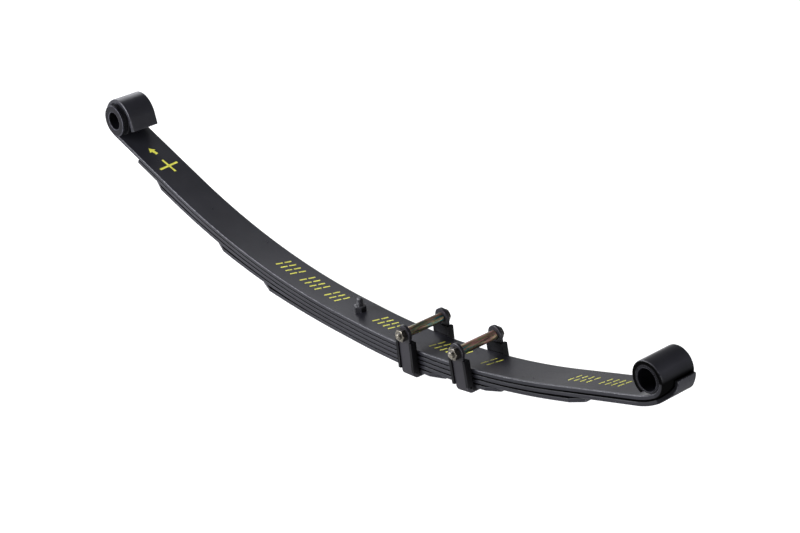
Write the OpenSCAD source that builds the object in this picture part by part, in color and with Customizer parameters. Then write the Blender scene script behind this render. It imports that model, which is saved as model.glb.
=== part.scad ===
// Five-leaf rear spring pack with rolled eyes, a half-wrapped second leaf and two bolted rebound clips.
// X runs along the spring, Y across it and Z up. The origin is on the centre bolt, under the lowest leaf.

/* [Leaves] */
// width of every leaf
leaf_w = 60; // [50:1:75]
// thickness of every leaf
leaf_t = 7; // [6:0.5:8]
// half length of the flat seat at the centre bolt
seat_half = 20; // [15:1:35]
// radius of the main leaf's top face, left half
left_radius = 1305; // [1200:5:1500]
// radius of the main leaf's top face, right half
right_radius = 1392; // [1200:1:1500]
// length of the curved run of each half, measured along the main leaf
curve_len = 424; // [400:1:440]
// straight run from the curve to the left eye
left_straight = 165; // [150:1:190]
// straight run from the curve to the bend that leads into the right eye
right_straight = 162.4; // [155:0.2:175]
// distance from the centre bolt to each end of the third leaf, along the leaf
third_reach = 503; // [480:1:530]
// distance from the centre bolt to each end of the fourth leaf
fourth_reach = 333; // [320:1:360]
// distance from the centre bolt to each end of the fifth leaf
fifth_reach = 214; // [200:1:230]
// distance from the centre bolt to the square left end of the second leaf
second_reach = 543; // [520:1:560]
// length of the trimmed corner at a leaf tip
trim_len = 25; // [15:1:30]
// depth of the trimmed corner at a leaf tip
trim_in = 8; // [4:1:12]

/* [Eyes] */
// bore radius of the left eye's tight roll
left_eye_r = 27.3; // [26:0.1:29]
// how far the left eye is rolled tight, in degrees
left_roll = 180; // [160:4:200]
// inner radius of the left eye's open end
left_open_r = 30; // [28:0.5:34]
// how far the left eye's open end is rolled, in degrees
left_open_roll = 55; // [40:1:70]
// length of the straight lip that ends the left eye
left_lip = 20; // [12:1:22]
// width of the left eye at its top and its lip
left_eye_w = 50; // [46:1:54]
// inner radius of the bend that leads into the right eye
lead_r = 120; // [80:5:140]
// how far that bend turns, in degrees
lead_turn = 16.5; // [10:0.5:20]
// bore radius of the rolled right eye
right_eye_r = 19.4; // [18:0.1:21]
// how far the right eye is rolled after the bend, in degrees
right_roll = 301.5; // [285:0.5:303]
// how far the second leaf turns up round the right eye, in degrees
wrap_roll = 77; // [70:1:84]
// distance from the middle of the leaf to the near edge of the wrapped leaf's tab
tab_near = 9; // [6:1:20]
// distance from the middle of the leaf to the far edge of the tab
tab_far = 25; // [20:1:28]

/* [Eye bushes] */
// outer radius of the left bush's inner tube
left_tube_r = 21; // [19:0.5:22]
// radius of the collar at the near end of the left bush's inner tube
left_collar_r = 26.2; // [25.6:0.1:27]
// bore radius of the left bush's inner tube
left_bore_r = 15; // [8:0.1:18]
// how far the left bush's inner tube reaches to the near side of the leaf's middle, collar and all
left_tube_near = 35; // [32:1:38]
// how far it reaches to the far side, where it has no collar
left_tube_far = 30; // [26:1:34]
// outer radius of the right bush's inner tube
right_tube_r = 17.35; // [17:0.05:17.5]
// bore radius of the right bush's inner tube
right_bore_r = 16.2; // [8:0.1:16.4]
// length of the right bush's inner tube
right_tube_len = 61; // [60.5:0.5:70]

/* [Rebound clips] */
// distance from the centre bolt to the inner clip, along the main leaf
inner_clip_at = 148; // [135:1:160]
// distance from the centre bolt to the outer clip
outer_clip_at = 265; // [250:1:280]
// width of the clip strap
strap_w = 24; // [20:1:28]
// radius of the rounded ears at the top of the strap
ear_r = 13.4; // [12:0.2:14]
// thickness of the clip strap
strap_t = 5; // [4:0.5:6]
// thickness of the liner between strap and leaves
liner_t = 3; // [2:0.5:4]
// how far the liner's ribs stand out past its own base
rib_h = 7; // [5.5:0.5:8]
// width of one rib of the liner
rib_w = 5; // [3:0.5:6]
// height of the clip bolt above the main leaf
clip_bolt_z = 24.5; // [21:0.5:28]
// height of the liner above the main leaf
liner_top = 14; // [8:0.5:14]

/* [Bolts] */
// radius of the centre bolt and of the clip bolts
bolt_r = 5; // [4:0.5:5]
// width across flats of every nut and hexagon head
flats = 17; // [15:1:17]
// height of the nuts
nut_h = 8; // [6:0.5:10]
// height of the centre bolt above the main leaf
centre_stud = 21; // [16:1:26]
// radius of the centre bolt's round head
pin_r = 9; // [8:0.5:10]
// height of the centre bolt's round head
pin_h = 8; // [6:0.5:10]

/* [Hidden] */
leaf_count = 5;
stack_h = leaf_count * leaf_t;
// gaps that open between each leaf and the one above it, at the end of its curve
left_gap = [0, 0.3, 1.7, 2.4, 3.1];
right_gap = [0, 0.7, 1.3, 1.0, 0.8];
reach = [0, second_reach, third_reach, fourth_reach, fifth_reach];
curve_end = seat_half + curve_len;
hole_r = bolt_r + 0.25;
fit = 0.05;
side_play = 1;
under_play = 0.6;
liner_in = leaf_w / 2 + side_play;
strap_in = liner_in + liner_t;
strap_out = strap_in + strap_t;
head_h = 6.5;
thread_past_nut = 4;
rivet_r = 4;
rivet_head_r = 8;
rivet_head_h = 4;
tube_wall = 1.8;
shell_left_in = 25.7;
shell_right_in = 18;
rubber_play = 0.05;
collar_t = 4;
// slack between the second leaf and the right eye inside it
wrap_gap = 0.7;
wide = 400;
steel = [0.20, 0.20, 0.22];
dark_steel = [0.16, 0.16, 0.17];
plastic = [0.09, 0.09, 0.10];
zinc = [0.62, 0.56, 0.40];
rubber = [0.06, 0.06, 0.06];
bush_steel = [0.45, 0.44, 0.45];
arc_step = 0.5;
lead_step = 1.5;
roll_step = 4;
skin = 1;
$fn = 96;

// length of a leaf's curved run on one side
function run(k, side) = min(curve_len, (k == 0 || (k == 1 && side > 0)) ? curve_len : reach[k] - seat_half);
function gap(k, side) = side < 0 ? left_gap[k] : right_gap[k];
function first_radius(side) = side < 0 ? left_radius : right_radius;
// each leaf is a little flatter than the one above it, so a gap opens towards its tip
function top_radius(k, side) = k == 0
    ? first_radius(side)
    : 1 / (1 / (top_radius(k - 1, side) + leaf_t) - 2 * gap(k, side) / pow(run(k, side), 2));
function top_z(k) = stack_h - k * leaf_t;
function turn(k, side, s) = min(s - seat_half, curve_len) / top_radius(k, side) * 180 / PI;
// a point on a leaf's top face at the distance s along it, as [x, z]
function on_top(k, side, s) =
    let (a = turn(k, side, s), r = top_radius(k, side), past = max(0, s - curve_end))
    [
        side * (seat_half + r * sin(a) + past * cos(a)),
        top_z(k) + r * (1 - cos(a)) + past * sin(a)
    ];
// how far leaf k has dropped away from its nested place at the distance s
function drop(k, side, s) = k == 0
    ? 0
    : drop(k - 1, side, s) + gap(k, side) * pow((s - seat_half) / run(k, side), 2);

eye_s = [curve_end + left_straight, curve_end + right_straight];
left_turn = turn(0, -1, curve_end);
right_turn = turn(0, 1, curve_end);
left_foot = on_top(0, -1, eye_s[0]);
right_foot = on_top(0, 1, eye_s[1]);
left_eye = [left_foot[0] + left_eye_r * sin(left_turn), left_foot[1] + left_eye_r * cos(left_turn)];
lead_centre = [right_foot[0] - lead_r * sin(right_turn), right_foot[1] + lead_r * cos(right_turn)];
right_eye = inner_centre(lead_centre, lead_r, right_eye_r, right_turn + lead_turn);

// stands a drawing in X and Z upright and gives it the width w
module across(w) {
    rotate([90, 0, 0])
        linear_extrude(height = w, center = true)
            children();
}

// A station is a point on a leaf's top face with the slope there: [x, z, slope], with x counted away
// from the seat on either side. A leaf is drawn from its stations, from the seat outwards.

// centre of an arc of radius r2 that carries on from an arc of radius r1 at the slope a
function inner_centre(centre, r1, r2, a) = centre + (r1 - r2) * [sin(a), -cos(a)];

// stations round an arc of radius r, from the slope a0 to the slope a1
function arc(centre, r, a0, a1, step) =
    let (n = ceil((a1 - a0) / step - 0.01))
    [
        for (i = [0 : n])
            let (a = min(a0 + i * step, a1))
            [centre[0] + r * sin(a), centre[1] - r * cos(a), a]
    ];

// stations of one half of leaf k, out to the distance s along it
function half_leaf(k, side, s) =
    let (
        r = top_radius(k, side),
        a = turn(k, side, s),
        p = on_top(k, side, s),
        curve = arc([seat_half, top_z(k) + r], r, 0, a, arc_step)
    )
    s > curve_end ? concat(curve, [[abs(p[0]), p[1], a]]) : curve;

// stations rolled round a centre, through the angle roll from the slope a
function rolled(centre, r, a, roll) =
    arc([abs(centre[0]), centre[1]], r, a + roll_step, a + roll, roll_step);

// the points that lie the distance d below a row of stations
function below(stations, side, d) =
    [for (p = stations) [side * (p[0] + d * sin(p[2])), p[1] - d * cos(p[2])]];

function reversed(list) = [for (i = [len(list) - 1 : -1 : 0]) list[i]];

// side view of a leaf, from the stations of its two halves
module leaf_profile(left, right) {
    polygon(concat(
        reversed(below(left, -1, 0)),
        below(right, 1, 0),
        reversed(below(right, 1, leaf_t)),
        below(left, -1, leaf_t)
    ));
}

// places children at the distance s along the top of leaf k, X along the leaf and Z square to it
module at_leaf(k, side, s) {
    p = on_top(k, side, s);
    a = turn(k, side, s);
    translate([p[0], 0, p[1]])
        rotate([0, -side * a, 0])
            children();
}

module centre_hole() {
    translate([0, 0, -1])
        cylinder(h = stack_h + 2, r = hole_r);
}

// cuts both edges of a leaf along a line that runs in by the depth d over the length l, in the direction
// dir along X, and then carries on straight for the length tail
module edge_cut(l, d, tail, dir, h) {
    before = skin;
    for (flip = [0, 1])
        mirror([0, flip, 0])
            linear_extrude(height = h, center = true)
                polygon([
                    [-dir * (l + before), leaf_w / 2 + d * before / l],
                    [0, leaf_w / 2 - d],
                    [dir * tail, leaf_w / 2 - d],
                    [dir * tail, leaf_w],
                    [-dir * (l + before), leaf_w]
                ]);
}

// trims the two corners at the end of a leaf
module tip_trim(k, side, s) {
    at_leaf(k, side, s)
        edge_cut(trim_len, trim_in, skin, side, 6 * leaf_t);
}

// a countersunk hole for the rivet of a clip with n leaves inside it, through the lowest of them
module rivet_hole(n, s) {
    sink = 2;
    top = (n - 1) * leaf_t + drop(n - 1, 1, s);
    bottom = floor_depth(n, s) + 1;
    at_leaf(0, 1, s) {
        translate([0, 0, -bottom])
            cylinder(h = bottom - top + 1, r = rivet_r + 0.1, $fn = 48);
        translate([0, 0, -top - sink])
            cylinder(h = sink + 0.5, r1 = rivet_r + 0.1, r2 = rivet_r + 2.6, $fn = 48);
    }
}

// a leaf whose two ends have trimmed corners
module plain_leaf(k) {
    difference() {
        across(leaf_w)
            leaf_profile(half_leaf(k, -1, reach[k]), half_leaf(k, 1, reach[k]));
        tip_trim(k, -1, reach[k]);
        tip_trim(k, 1, reach[k]);
        centre_hole();
    }
}

// narrows the left eye: its outer side tapers upwards, its top and its lip have the narrow width
module left_eye_trim() {
    taper = (leaf_w - left_eye_w) / 2;
    taper_low = 11;
    taper_high = 28;
    lip_low = 22;
    low = left_eye[1] - taper_low;
    high = left_eye[1] + taper_high;
    beyond = 50;
    for (flip = [0, 1])
        mirror([0, flip, 0]) {
            translate([left_eye[0] - beyond / 2 + 0.5, 0, 0])
                along(beyond + 1)
                    polygon([
                        [leaf_w / 2 + taper * skin / (high - low), low - skin],
                        [left_eye_w / 2, high],
                        [left_eye_w / 2, high + beyond],
                        [leaf_w, high + beyond],
                        [leaf_w, low - skin]
                    ]);
            translate([left_eye[0], left_eye_w / 2, left_eye[1] - lip_low])
                cube([2 * beyond, leaf_w, 2 * beyond]);
        }
}

// the left eye is rolled tight for half a turn, then opens a little and ends in a straight lip
module main_leaf() {
    open_turn = left_turn + left_roll;
    lip_turn = open_turn + left_open_roll;
    open_centre = inner_centre([abs(left_eye[0]), left_eye[1]], left_eye_r, left_open_r, open_turn);
    open_end = rolled(open_centre, left_open_r, open_turn, left_open_roll);
    lip_start = open_end[len(open_end) - 1];
    lip = lip_start + left_lip * [cos(lip_turn), sin(lip_turn), 0];
    left = concat(
        half_leaf(0, -1, eye_s[0]),
        rolled(left_eye, left_eye_r, left_turn, left_roll),
        open_end,
        [lip]
    );
    right = concat(
        half_leaf(0, 1, eye_s[1]),
        arc(lead_centre, lead_r, right_turn + lead_step, right_turn + lead_turn, lead_step),
        rolled(right_eye, right_eye_r, right_turn + lead_turn, right_roll)
    );
    color(steel)
        difference() {
            across(leaf_w)
                leaf_profile(left, right);
            left_eye_trim();
            centre_hole();
        }
}

// cuts one shoulder of the wrapped end, from the leaf's edge in to y on the side dir of the middle
module tab_cut(y, dir) {
    start = 18;
    l = 11;
    d = leaf_w / 2 - y;
    translate([right_eye[0] + start, 0, 0])
        linear_extrude(height = wide)
            polygon([
                [-skin, dir * (leaf_w / 2 + d * skin / l)],
                [l, dir * y],
                [leaf_w, dir * y],
                [leaf_w, dir * leaf_w],
                [-skin, dir * leaf_w]
            ]);
}

// the second leaf follows the bend under the right eye and turns up its outside, ending in a narrow tab
module second_leaf() {
    a = turn(1, 1, curve_end);
    to_eye = right_eye - on_top(1, 1, curve_end);
    height = to_eye * [-sin(a), cos(a)];
    r = right_eye_r + leaf_t + wrap_gap;
    bend_r = lead_r + leaf_t + wrap_gap;
    bend = acos(1 - (height - r) / (bend_r - r));
    straight = to_eye * [cos(a), sin(a)] - (bend_r - r) * sin(bend);
    bend_centre = inner_centre(right_eye, r, bend_r, a + bend);
    right = concat(
        half_leaf(1, 1, curve_end + straight),
        arc(bend_centre, bend_r, a + lead_step, a + bend, lead_step),
        rolled(right_eye, r, a + bend, wrap_roll - bend)
    );
    color(steel)
        difference() {
            across(leaf_w)
                leaf_profile(half_leaf(1, -1, second_reach), right);
            tab_cut(tab_near, -1);
            tab_cut(tab_far, 1);
            centre_hole();
        }
}

module third_leaf() {
    color(steel)
        plain_leaf(2);
}

module fourth_leaf() {
    color(steel)
        difference() {
            plain_leaf(3);
            rivet_hole(4, outer_clip_at);
        }
}

module fifth_leaf() {
    color(steel)
        difference() {
            plain_leaf(4);
            rivet_hole(5, inner_clip_at);
        }
}

module centre_bolt() {
    color(dark_steel) {
        translate([0, 0, -pin_h])
            cylinder(h = pin_h, r = pin_r);
        cylinder(h = stack_h + centre_stud, r = bolt_r);
    }
}

module hex_nut(h) {
    difference() {
        cylinder(h = h, r = flats / sqrt(3), $fn = 6);
        translate([0, 0, -1])
            cylinder(h = h + 2, r = bolt_r + fit);
    }
}

module centre_nut() {
    color(dark_steel)
        translate([0, 0, stack_h])
            hex_nut(nut_h);
}

// depth of the clip's inner floor below the main leaf's top, with n leaves inside it
function floor_depth(n, s) = n * leaf_t + drop(n - 1, 1, s) + under_play;

// end view of a U, open at the top, with inner half width b, floor at -d, wall t and corner radius c
module u_profile(b, d, t, c, top) {
    difference() {
        rounded_box(b + t, d + t, c + t, top);
        rounded_box(b, d, c, top + skin);
    }
}

// a box from the height top down to -d, with half width b and its two lower corners rounded by c
module rounded_box(b, d, c, top) {
    translate([-b, -d + c])
        square([2 * b, d - c + top]);
    translate([-b + c, -d])
        square([2 * (b - c), c + skin]);
    for (y = [-1, 1])
        translate([y * (b - c), -d + c])
            circle(r = c);
}

// stands a drawing in Y and Z upright and gives it the length w along X
module along(w) {
    rotate([90, 0, 90])
        linear_extrude(height = w, center = true)
            children();
}

module clip_bolt_hole() {
    translate([0, 0, clip_bolt_z])
        rotate([90, 0, 0])
            cylinder(h = wide, r = bolt_r + 0.3, center = true, $fn = 64);
}

module floor_hole(n, s) {
    translate([0, 0, -floor_depth(n, s) - liner_t - strap_t - 1])
        cylinder(h = liner_t + strap_t + 2, r = rivet_r + 0.1, $fn = 48);
}

module strap(n, s) {
    corner = 5;
    at_leaf(0, 1, s)
        difference() {
            union() {
                along(strap_w)
                    u_profile(strap_in, floor_depth(n, s) + liner_t, strap_t, corner, 0);
                for (y = [-1, 1])
                    translate([0, y * (strap_in + strap_t / 2), 0])
                        across(strap_t) {
                            translate([-strap_w / 2, 0])
                                square([strap_w, clip_bolt_z]);
                            translate([0, clip_bolt_z])
                                circle(r = ear_r);
                        }
            }
            clip_bolt_hole();
            floor_hole(n, s);
        }
}

// the liner holds the strap between two ribs on each side of the pack
module liner(n, s) {
    corner = 2;
    total_w = strap_w + 2 * (rib_w + 0.2);
    foot = floor_depth(n, s) - 4;
    rib_x = (total_w - rib_w) / 2;
    rib_y = strap_in + rib_h / 2 - 0.5;
    at_leaf(0, 1, s)
        difference() {
            union() {
                along(total_w)
                    u_profile(liner_in, floor_depth(n, s), liner_t, corner, liner_top);
                for (x = [-1, 1])
                    for (y = [-1, 1])
                        translate([x * rib_x, y * rib_y, (liner_top - foot) / 2])
                            cube([rib_w, rib_h + 1, liner_top + foot], center = true);
            }
            floor_hole(n, s);
        }
}

module clip_bolt(s) {
    at_leaf(0, 1, s)
        translate([0, 0, clip_bolt_z]) {
            translate([0, strap_out, 0])
                rotate([-90, 0, 0])
                    rotate(30)
                        cylinder(h = head_h, r = flats / sqrt(3), $fn = 6);
            translate([0, strap_out, 0])
                rotate([90, 0, 0])
                    cylinder(h = 2 * strap_out + nut_h + thread_past_nut, r = bolt_r, $fn = 64);
        }
}

module clip_nut(s) {
    at_leaf(0, 1, s)
        translate([0, -strap_out, clip_bolt_z])
            rotate([90, 0, 0])
                rotate(30)
                    hex_nut(nut_h);
}

module clip_spacer(s) {
    inside = bolt_r + 0.2;
    at_leaf(0, 1, s)
        translate([0, 0, clip_bolt_z])
            rotate([90, 0, 0])
                difference() {
                    cylinder(h = 2 * strap_in, r = inside + tube_wall, center = true, $fn = 64);
                    cylinder(h = 2 * strap_in + 2, r = inside, center = true, $fn = 64);
                }
}

// the rivet holds the clip to the lowest leaf inside it
module clip_rivet(n, s) {
    low = floor_depth(n, s) + liner_t + strap_t;
    high = (n - 1) * leaf_t + drop(n - 1, 1, s);
    at_leaf(0, 1, s) {
        translate([0, 0, -low])
            cylinder(h = low - high - 0.3, r = rivet_r, $fn = 48);
        translate([0, 0, -low - rivet_head_h])
            cylinder(h = rivet_head_h, r1 = rivet_head_r - 3, r2 = rivet_head_r, $fn = 48);
    }
}

module inner_clip_strap() {
    color(dark_steel)
        strap(5, inner_clip_at);
}

module inner_clip_liner() {
    color(plastic)
        liner(5, inner_clip_at);
}

module inner_clip_bolt() {
    color(zinc)
        clip_bolt(inner_clip_at);
}

module inner_clip_nut() {
    color(zinc)
        clip_nut(inner_clip_at);
}

module inner_clip_spacer() {
    color(zinc)
        clip_spacer(inner_clip_at);
}

module inner_clip_rivet() {
    color(dark_steel)
        clip_rivet(5, inner_clip_at);
}

module outer_clip_strap() {
    color(dark_steel)
        strap(4, outer_clip_at);
}

module outer_clip_liner() {
    color(plastic)
        liner(4, outer_clip_at);
}

module outer_clip_bolt() {
    color(zinc)
        clip_bolt(outer_clip_at);
}

module outer_clip_nut() {
    color(zinc)
        clip_nut(outer_clip_at);
}

module outer_clip_spacer() {
    color(zinc)
        clip_spacer(outer_clip_at);
}

module outer_clip_rivet() {
    color(dark_steel)
        clip_rivet(4, outer_clip_at);
}

// a plain sleeve on an eye's centre, lying across the spring
module sleeve(eye, r_out, r_in, len) {
    translate([eye[0], 0, eye[1]])
        rotate([90, 0, 0])
            difference() {
                cylinder(h = len, r = r_out, center = true, $fn = 128);
                cylinder(h = len + 2, r = r_in, center = true, $fn = 128);
            }
}

// a sleeve with both mouths and both outer rims chamfered by c
module chamfered_sleeve(eye, r_out, r_in, len, c) {
    translate([eye[0], 0, eye[1]])
        rotate([90, 0, 0])
            rotate_extrude($fn = 128)
                polygon([
                    [r_in, -len / 2 + c], [r_in + c, -len / 2],
                    [r_out - c, -len / 2], [r_out, -len / 2 + c],
                    [r_out, len / 2 - c], [r_out - c, len / 2],
                    [r_in + c, len / 2], [r_in, len / 2 - c]
                ]);
}

module left_bush_shell() {
    color(dark_steel)
        sleeve(left_eye, left_eye_r - fit, shell_left_in, left_eye_w - 3);
}

// turns an outline of [radius, place across the spring] round an eye's centre
module turned(eye, outline) {
    translate([eye[0], 0, eye[1]])
        rotate([-90, 0, 0])
            rotate_extrude($fn = 128)
                polygon(outline);
}

// the rubber swells out past its shell on the near side, up to the tube's collar
module left_bush_rubber() {
    r_in = left_tube_r + rubber_play;
    near = left_tube_near - collar_t - 0.3;
    shell_half = left_eye_w / 2 - 1.5;
    swell = 1.5;
    color(rubber)
        turned(left_eye, [
            [r_in, -near],
            [shell_left_in - swell, -near],
            [shell_left_in - 0.3, -near + swell],
            [shell_left_in, -shell_half],
            [shell_left_in, shell_half],
            [shell_left_in - swell, shell_half + 1],
            [r_in, shell_half + 1]
        ]);
}

module left_bush_tube() {
    near = left_tube_near;
    far = left_tube_far;
    c = 1.2;
    color(bush_steel)
        turned(left_eye, [
            [left_bore_r, -near + c], [left_bore_r + c, -near],
            [left_collar_r - c, -near], [left_collar_r, -near + c],
            [left_collar_r, -near + collar_t], [left_tube_r, -near + collar_t],
            [left_tube_r, far - c], [left_tube_r - c, far],
            [left_bore_r + c, far], [left_bore_r, far - c]
        ]);
}

module right_bush_shell() {
    color(dark_steel)
        sleeve(right_eye, right_eye_r - fit, shell_right_in, leaf_w);
}

module right_bush_rubber() {
    color(rubber)
        sleeve(right_eye, shell_right_in, right_tube_r + rubber_play, leaf_w - 2);
}

module right_bush_tube() {
    color(bush_steel)
        chamfered_sleeve(right_eye, right_tube_r, right_bore_r, right_tube_len, 0.3);
}

main_leaf();
second_leaf();
third_leaf();
fourth_leaf();
fifth_leaf();
centre_bolt();
centre_nut();
inner_clip_strap();
inner_clip_liner();
inner_clip_bolt();
inner_clip_nut();
inner_clip_spacer();
inner_clip_rivet();
outer_clip_strap();
outer_clip_liner();
outer_clip_bolt();
outer_clip_nut();
outer_clip_spacer();
outer_clip_rivet();
left_bush_shell();
left_bush_rubber();
left_bush_tube();
right_bush_shell();
right_bush_rubber();
right_bush_tube();
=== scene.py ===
import math

import bmesh
import bpy
from mathutils import Matrix, Vector


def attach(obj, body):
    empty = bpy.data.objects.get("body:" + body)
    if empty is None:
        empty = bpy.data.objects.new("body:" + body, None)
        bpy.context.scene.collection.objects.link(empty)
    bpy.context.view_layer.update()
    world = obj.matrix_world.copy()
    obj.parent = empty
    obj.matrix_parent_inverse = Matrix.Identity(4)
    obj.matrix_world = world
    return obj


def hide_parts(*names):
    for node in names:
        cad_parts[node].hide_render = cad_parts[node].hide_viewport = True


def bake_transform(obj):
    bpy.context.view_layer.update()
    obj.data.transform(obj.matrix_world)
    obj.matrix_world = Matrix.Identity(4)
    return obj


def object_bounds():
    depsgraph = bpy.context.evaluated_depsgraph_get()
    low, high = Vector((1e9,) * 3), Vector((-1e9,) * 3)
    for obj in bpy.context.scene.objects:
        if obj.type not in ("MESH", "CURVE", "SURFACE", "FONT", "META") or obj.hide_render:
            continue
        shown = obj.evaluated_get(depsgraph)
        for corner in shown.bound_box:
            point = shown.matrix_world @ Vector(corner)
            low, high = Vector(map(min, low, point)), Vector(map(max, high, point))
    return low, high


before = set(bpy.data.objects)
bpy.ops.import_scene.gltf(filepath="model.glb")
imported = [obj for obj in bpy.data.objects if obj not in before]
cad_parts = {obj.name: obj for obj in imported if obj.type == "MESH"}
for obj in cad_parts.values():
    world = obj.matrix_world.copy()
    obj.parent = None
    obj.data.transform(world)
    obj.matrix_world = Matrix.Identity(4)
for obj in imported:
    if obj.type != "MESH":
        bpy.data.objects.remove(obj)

cad_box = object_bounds()
MM = 0.001

# ---------------------------------------------------------------- sizes, in millimetres
LEFT, RIGHT = -1, 1
LEAF_W = 60.0
LEAF_T = 7.0
EDGE_R = 1.9
STACK_H = 5 * LEAF_T
# flat half length at the centre, and the curved length on each side of it
SEAT_HALF = 20.0
CURVE_LEN = 424.0
CURVE_END = SEAT_HALF + CURVE_LEN
MAIN_RADIUS = {LEFT: 1305.0, RIGHT: 1392.0}
STRAIGHT = {LEFT: 165.0, RIGHT: 162.4}
# gap above each leaf at the end of its curve, and its length from the centre; the main leaf ends in eyes
GAPS = {LEFT: [0, 0.3, 1.7, 2.4, 3.1], RIGHT: [0, 0.7, 1.3, 1.0, 0.8]}
REACH = [0, 543.0, 503.0, 333.0, 214.0]
TRIM_LEN = 25.0
TRIM_IN = 8.0

EYE_R = {LEFT: 27.3, RIGHT: 19.4}
LEFT_ROLL, LEFT_OPEN_ROLL, LEFT_OPEN_R, LEFT_LIP = 180.0, 55.0, 30.0, 20.0
LEFT_EYE_W = 50.0
TAPER_LOW, TAPER_HIGH = -11.0, 28.0
LEAD_R, LEAD_TURN = 120.0, 16.5
RIGHT_ROLL = 301.5
WRAP_ROLL, WRAP_GAP = 77.0, 0.7
TAB_NEAR, TAB_FAR = 9.0, 25.0
TAB_START, TAB_LEN = 18.0, 11.0

INNER_CLIP, OUTER_CLIP = 148.0, 265.0
CLIP_BOLT_Z = 24.5
STRAP_IN, STRAP_OUT = 34.0, 39.0
FLATS = 17.0
NUT_H = 8.0
BOLT_R = 5.0
PITCH = 1.5
THREAD_DEPTH = 0.75
THREAD_PAST_NUT = 4.0
CENTRE_STUD = 21.0
CLIP_HEAD_H = 6.5
# a hair of space between faces that would lie in one plane
SKIN = 0.02


# ---------------------------------------------------------------- the spring's curve
def run(k, side):
    """Length of leaf k that is curved; the two longest go straight on after it."""
    full = k == 0 or (k == 1 and side == RIGHT)
    return CURVE_LEN if full else min(CURVE_LEN, REACH[k] - SEAT_HALF)


def top_radius(k, side):
    """Radius of a leaf's top: it nests under the leaf above and opens to its gap at the end."""
    if k == 0:
        return MAIN_RADIUS[side]
    nested = top_radius(k - 1, side) + LEAF_T
    return 1 / (1 / nested - 2 * GAPS[side][k] / run(k, side) ** 2)


def station(k, side, s):
    """(x away from the seat, z, slope) on the top of leaf k at the distance s along it."""
    r = top_radius(k, side)
    top = STACK_H - k * LEAF_T
    if s <= SEAT_HALF:
        return s, top, 0.0
    a = min(s - SEAT_HALF, CURVE_LEN) / r
    past = max(0.0, s - CURVE_END)
    x = SEAT_HALF + r * math.sin(a) + past * math.cos(a)
    return x, top + r * (1 - math.cos(a)) + past * math.sin(a), a


def foot(side):
    """Station where the main leaf starts to roll into its eye."""
    return station(0, side, CURVE_END + STRAIGHT[side])


def inner_centre(centre, r1, r2, a):
    """Centre of an arc of radius r2 that carries on from an arc of radius r1 at the slope a."""
    return centre[0] + (r1 - r2) * math.sin(a), centre[1] - (r1 - r2) * math.cos(a)


def lead_centre():
    x, z, a = foot(RIGHT)
    return x - LEAD_R * math.sin(a), z + LEAD_R * math.cos(a)


def eye_centre(side):
    x, z, a = foot(side)
    if side == RIGHT:
        return inner_centre(lead_centre(), LEAD_R, EYE_R[RIGHT], a + math.radians(LEAD_TURN))
    return x - EYE_R[side] * math.sin(a), z + EYE_R[side] * math.cos(a)


def at_main(s):
    """Frame on the main leaf's top, s along its right half: X along the leaf, Z up from it."""
    x, z, a = station(0, RIGHT, s)
    return Matrix.Translation((x * MM, 0, z * MM)) @ Matrix.Rotation(-a, 4, "Y")


# ---------------------------------------------------------------- mesh helpers
def new_object(name, bm, material):
    mesh = bpy.data.meshes.new(name)
    bm.to_mesh(mesh)
    bm.free()
    for face in mesh.polygons:
        face.use_smooth = True
    obj = bpy.data.objects.new(name, mesh)
    bpy.context.scene.collection.objects.link(obj)
    mesh.materials.append(material)
    return obj


def even_normals(obj, angle=35.0):
    """Shades wide faces flat and their rounded edges smooth."""
    mesh = obj.data
    mesh.set_sharp_from_angle(angle=math.radians(angle))
    weighted = obj.modifiers.new("even_normals", "WEIGHTED_NORMAL")
    weighted.mode = "FACE_AREA"
    weighted.keep_sharp = True
    return obj


def ring_points(edges, inset):
    """Points (y, depth, wear, facing) round a flat bar's section with rounded edges.

    Each edge has a support point on both sides; facing is 1 on the flat top and underside, 0 on the sides.
    """
    left, right = edges[0] + inset, edges[1] - inset
    top, low = inset, LEAF_T - inset
    r = max(0.15, min(EDGE_R - 0.6 * inset, (low - top) / 2 - 0.05))
    near = min(1.0, (low - top - 2 * r) / 3)
    steps = 5
    out = []
    corners = (
        ((right - r, low - r), (0, 1), (1, 0)),
        ((right - r, top + r), (1, 0), (0, -1)),
        ((left + r, top + r), (0, -1), (-1, 0)),
        ((left + r, low - r), (-1, 0), (0, 1)),
    )
    for (cy, cd), first, last in corners:
        before = 1.0 if first[0] == 0 else near
        after = 1.0 if last[0] == 0 else near
        y, depth = cy + r * first[0] - before * last[0], cd + r * first[1] - before * last[1]
        out.append((y, depth, 0.0, abs(first[1])))
        for i in range(steps + 1):
            a = math.pi / 2 * i / steps
            dy = first[0] * math.cos(a) + last[0] * math.sin(a)
            dd = first[1] * math.cos(a) + last[1] * math.sin(a)
            out.append((cy + r * dy, cd + r * dd, math.sin(2 * a), abs(dd)))
        y, depth = cy + r * last[0] - after * first[0], cd + r * last[1] - after * first[1]
        out.append((y, depth, 0.0, abs(last[1])))
    return out


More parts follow.
